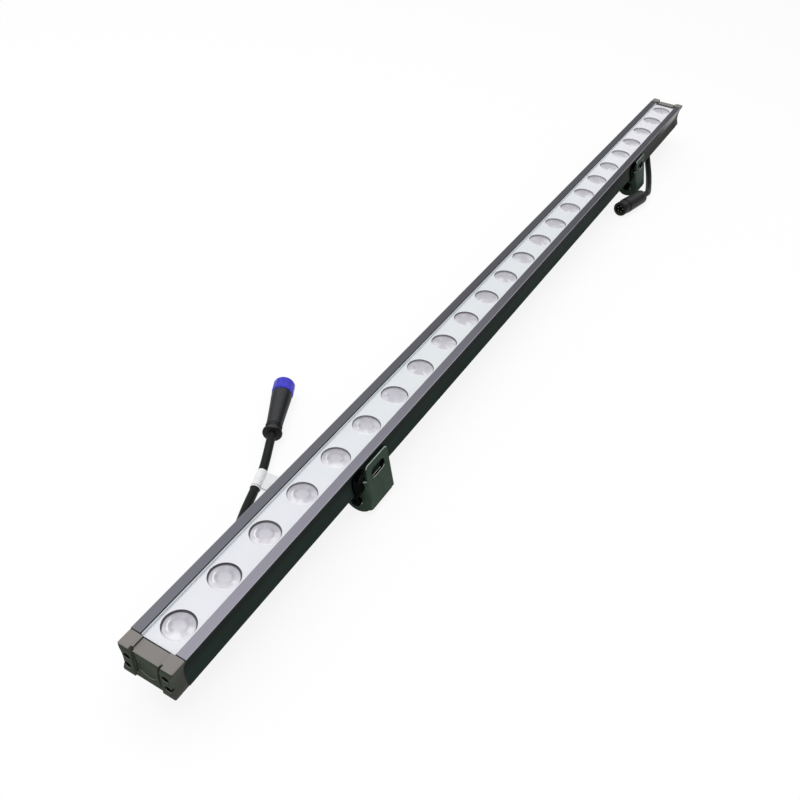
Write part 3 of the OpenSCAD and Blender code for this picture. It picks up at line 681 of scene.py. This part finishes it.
def rounded_copy(node, name, width):
    """A welded copy whose sharp edges are bevelled by width, in mm."""
    piece = welded_copy(node, name)
    bevel = piece.modifiers.new("edges", "BEVEL")
    bevel.width = width * mm
    bevel.segments = 2
    bevel.limit_method = "ANGLE"
    bevel.angle_limit = math.radians(40)
    bpy.ops.object.modifier_apply(modifier="edges")
    bpy.ops.object.shade_smooth_by_angle(angle=math.radians(35))
    return piece


rounded = (
    ("near_end_cap", "near_cap_rounded", "cap_coat", 0.25),
    ("far_end_cap", "far_cap_rounded", "cap_coat", 0.25),
    ("near_clamp", "near_clamp_rounded", "black_steel", 0.2),
    ("far_clamp", "far_clamp_rounded", "black_steel", 0.2),
    ("near_outlet", "near_elbow", "black_plastic", 0.3),
    ("far_outlet", "far_elbow", "black_plastic", 0.3),
    ("near_gland_nut", "near_gland", "black_plastic", 0.25),
    ("far_gland_nut", "far_gland", "black_plastic", 0.25),
)
for node, name, slot_name, width in rounded:
    piece = settle(rounded_copy(node, name, width), "lamp", slot_name, node)
    print(name, len(piece.data.polygons), "faces")

# %% [markdown]
# In the solids the glass touches its seals and the plate, and two faces in one place show up as
# specks. So the glass that shows is a copy that is a hair smaller all round.

# %% Window glass
window = welded_copy("cover_glass", "window_glass")
shrink = Vector((0.9999, 0.9968, 0.97))
window.scale = shrink
window.location = (0, side_shift * (1 - shrink.y), glass_middle * (1 - shrink.z))
bpy.ops.object.transform_apply(location=True, rotation=False, scale=True)
settle(window, "lamp", "glass", "cover_glass")
print("the glass is", round(window.dimensions.y / mm, 2), "mm wide")

# %% [markdown]
# The sharp edges round the outer face of a bracket's leaning plate, and round its slot, get a
# bevel of their own. They are found by their place: both ends lie on that face, and only one of
# their two faces does. Where the bevel faces up or towards the near end it gets a painted
# highlight, where the light catches it, and so does the small ledge beside the plate. The slot's
# own faces are found by how far they lie below the plate's top edge and to the side of its middle,
# and they are painted near black as the shade inside the slot.

# %% Foot brackets
lean = math.radians(13.3)
up_plate = Vector((0, math.sin(lean), math.cos(lean)))
off_plate = Vector((0, -math.cos(lean), math.sin(lean)))
slot_high, slot_low, slot_reach = 6 * mm, 15 * mm, 9.5 * mm


def bevel_plate(bracket, width):
    """Bevels the edges round the outer face of the plate, and round its slot, by width in mm."""
    mesh = bracket.data
    corners = [v.co for v in mesh.vertices]
    front = max(c.dot(off_plate) for c in corners if c.z > 30 * mm)
    start = min(c.x for c in corners if c.z > 38 * mm)
    touching = {}
    for face in mesh.polygons:
        if face.normal.dot(off_plate) > 0.99:
            for key in face.edge_keys:
                touching[key] = touching.get(key, 0) + 1
    open_mesh(bracket, "DESELECT")
    bpy.ops.mesh.select_mode(type="EDGE")
    close_mesh()
    for edge in mesh.edges:
        ends = [corners[i] for i in edge.vertices]
        flat = all(abs(c.dot(off_plate) - front) < 0.02 * mm for c in ends)
        in_slot = all(c.z > 27 * mm and c.x > start + 1 * mm for c in ends)
        at_rim = all(c.z > 32 * mm and c.x > start - 0.05 * mm for c in ends)
        edge.select = flat and (in_slot or at_rim) and touching.get(edge.key) == 1
    bpy.ops.object.mode_set(mode="EDIT")
    bpy.ops.mesh.bevel(offset=width * mm, segments=2, affect="EDGES", clamp_overlap=False)
    bpy.ops.mesh.select_mode(type="VERT")
    close_mesh()
    bpy.ops.object.shade_smooth_by_angle(angle=math.radians(10))
    weights = bracket.modifiers.new("weights", "WEIGHTED_NORMAL")
    weights.keep_sharp = True
    bpy.ops.object.modifier_apply(modifier="weights")


for node in ("near_foot", "far_foot"):
    bracket = welded_copy(node, node.replace("foot", "bracket"))
    bevel_plate(bracket, 0.5)
    bracket.data.materials.clear()
    for slot_name in ("bracket_coat", "bracket_edge_highlight", "bracket_slot_shade"):
        bracket.data.materials.append(finishes[slot_name])
    corners = [v.co for v in bracket.data.vertices]
    top = max(c.dot(up_plate) for c in corners)
    rim = [c.x for c in corners if c.dot(up_plate) > top - 1 * mm]
    start, middle = min(rim), (min(rim) + max(rim)) / 2
    bright = 0
    for face in bracket.data.polygons:
        place, normal = face.center, face.normal
        up, off = normal.dot(up_plate), normal.dot(off_plate)
        on_plate = place.y < side_shift - 15.5 * mm and place.z > 25 * mm
        below, beside = top - place.dot(up_plate), abs(place.x - middle)
        by_slot = slot_high < below < slot_low and beside < slot_reach
        lit = up > 0.6 if by_slot else up > 0.2 or normal.x < -0.4
        on_rim = place.x > start - 1 * mm and 0.2 < off < 0.97 and lit
        on_ledge = up > 0.9 and place.x < start - 1 * mm
        # Painted highlight on the rim and ledge faces that face the light.
        if on_plate and (on_rim or on_ledge):
            face.material_index = 1
            bright += 1
        # Painted shade: the faces inside the slot get the near black finish.
        elif on_plate and by_slot and abs(off) < 0.1:
            face.material_index = 2
    settle(bracket, node, "bracket_coat", node)
    print(bracket.name, len(bracket.data.polygons), "faces,", bright, "bright")

# %% [markdown]
# The label starts as its own cross-section: once round the cable, then out into the flag with a
# gentle curl. That line is extruded along the cable in small steps, given the film's thickness,
# and laid at its place on the cable.

# %% Flag label
label_l = 18 * mm
label_steps = 6
wrap_r = 3.95 * mm
turns = [math.radians(170 - 10 * i) for i in range(34)]
wrap = [(-label_l / 2, wrap_r * math.cos(a), wrap_r * math.sin(a)) for a in turns]
flag = [
    (-label_l / 2, -wrap_r - out * mm, (0.7 - 0.32 * out + 0.007 * out * out) * mm)
    for out in range(14, 0, -1)
]
line = flag + wrap
label_mesh = bpy.data.meshes.new("label_flag")
label_mesh.from_pydata(line, [(i, i + 1) for i in range(len(line) - 1)], [])
label = bpy.data.objects.new("label_flag", label_mesh)
bpy.context.scene.collection.objects.link(label)
open_mesh(label)
for i in range(label_steps):
    step = {"value": (label_l / label_steps, 0, 0)}
    bpy.ops.mesh.extrude_region_move(TRANSFORM_OT_translate=step)
bpy.ops.mesh.select_all(action="SELECT")
bpy.ops.mesh.normals_make_consistent(inside=False)
close_mesh()
film = label.modifiers.new("film", "SOLIDIFY")
film.thickness = 0.25 * mm
film.offset = 0
bpy.ops.object.modifier_apply(modifier="film")
label_mesh.transform(Matrix.Translation(label_at) @ Matrix.Rotation(label_turn, 4, "Z"))
bpy.ops.object.shade_smooth_by_angle(angle=math.radians(40))
settle(label, "lamp", "label", "flag_label")
print("label:", len(label.data.polygons), "faces")

# %% [markdown]
# Each cable's pieces are listed, and the first point of its route is worked out.

near_pieces = [plug, ring, label, solids["plug_insert"], solids["plug_seal"]]
far_pieces = [socket, solids["socket_insert"], solids["socket_pins"], solids["socket_seal"]]
for piece, line, route, side, end, on_it in (
    (near_cord, near_line, near_route, -1, "plug", near_pieces),
    (far_cord, far_line, far_route, 1, "connector", far_pieces),
):
    x, y, z = route[0]
    side * outlet_place + x * mm
    side_shift + y * mm
    z * mm

# %% [markdown]
# The lamp lies on a white floor that the camera sees as white, apart from the lamp's own soft
# shadow. A large soft light hangs above, and the white surroundings fill in the sides.

# %% Floor and lights
def floor_white():
    f = Finish("floor_white")
    rays = f.node("LightPath")
    outs = rays.socket.node.outputs
    seen = Channel(f, outs["Is Camera Ray"]) + Channel(f, outs["Is Glossy Ray"])
    seen = (seen + Channel(f, outs["Is Transmission Ray"])).rise(0, 1)
    glow = f.node("Emission", {}, {"Color": (1, 1, 1, 1), "Strength": 1.0})
    f.done(Base_Color=tone("fafafa"), Roughness=0.9)
    plain = Channel(f, f.shader.outputs[0])
    both = f.node("MixShader", {}, {0: seen * 0.86, 1: plain, 2: glow})
    f.tree.links.new(both.socket, f.tree.nodes["Material Output"].inputs["Surface"])
    return f.material


deselect()
bpy.ops.mesh.primitive_plane_add(size=12, location=(0, 0, -0.0002))
floor = bpy.context.object
floor.name = "floor"
floor.data.materials.append(floor_white())

bpy.ops.object.light_add(type="AREA", location=(-0.3, 0.3, 2.2))
lamp_light = bpy.context.object
lamp_light.data.shape = "DISK"
lamp_light.data.size = 2.4
lamp_light.data.energy = 34

world = bpy.data.worlds.new("surroundings")
bpy.context.scene.world = world
world.use_nodes = True
sky = world.node_tree
rays = sky.nodes.new("ShaderNodeLightPath")
level = sky.nodes.new("ShaderNodeMapRange")
sky.links.new(rays.outputs["Is Camera Ray"], level.inputs["Value"])
level.inputs["To Min"].default_value = 0.55
level.inputs["To Max"].default_value = 1.0
sky.links.new(level.outputs[0], sky.nodes["Background"].inputs["Strength"])
sky.nodes["Background"].inputs["Color"].default_value = (1, 1, 1, 1)
bpy.context.scene.view_settings.view_transform = "Standard"
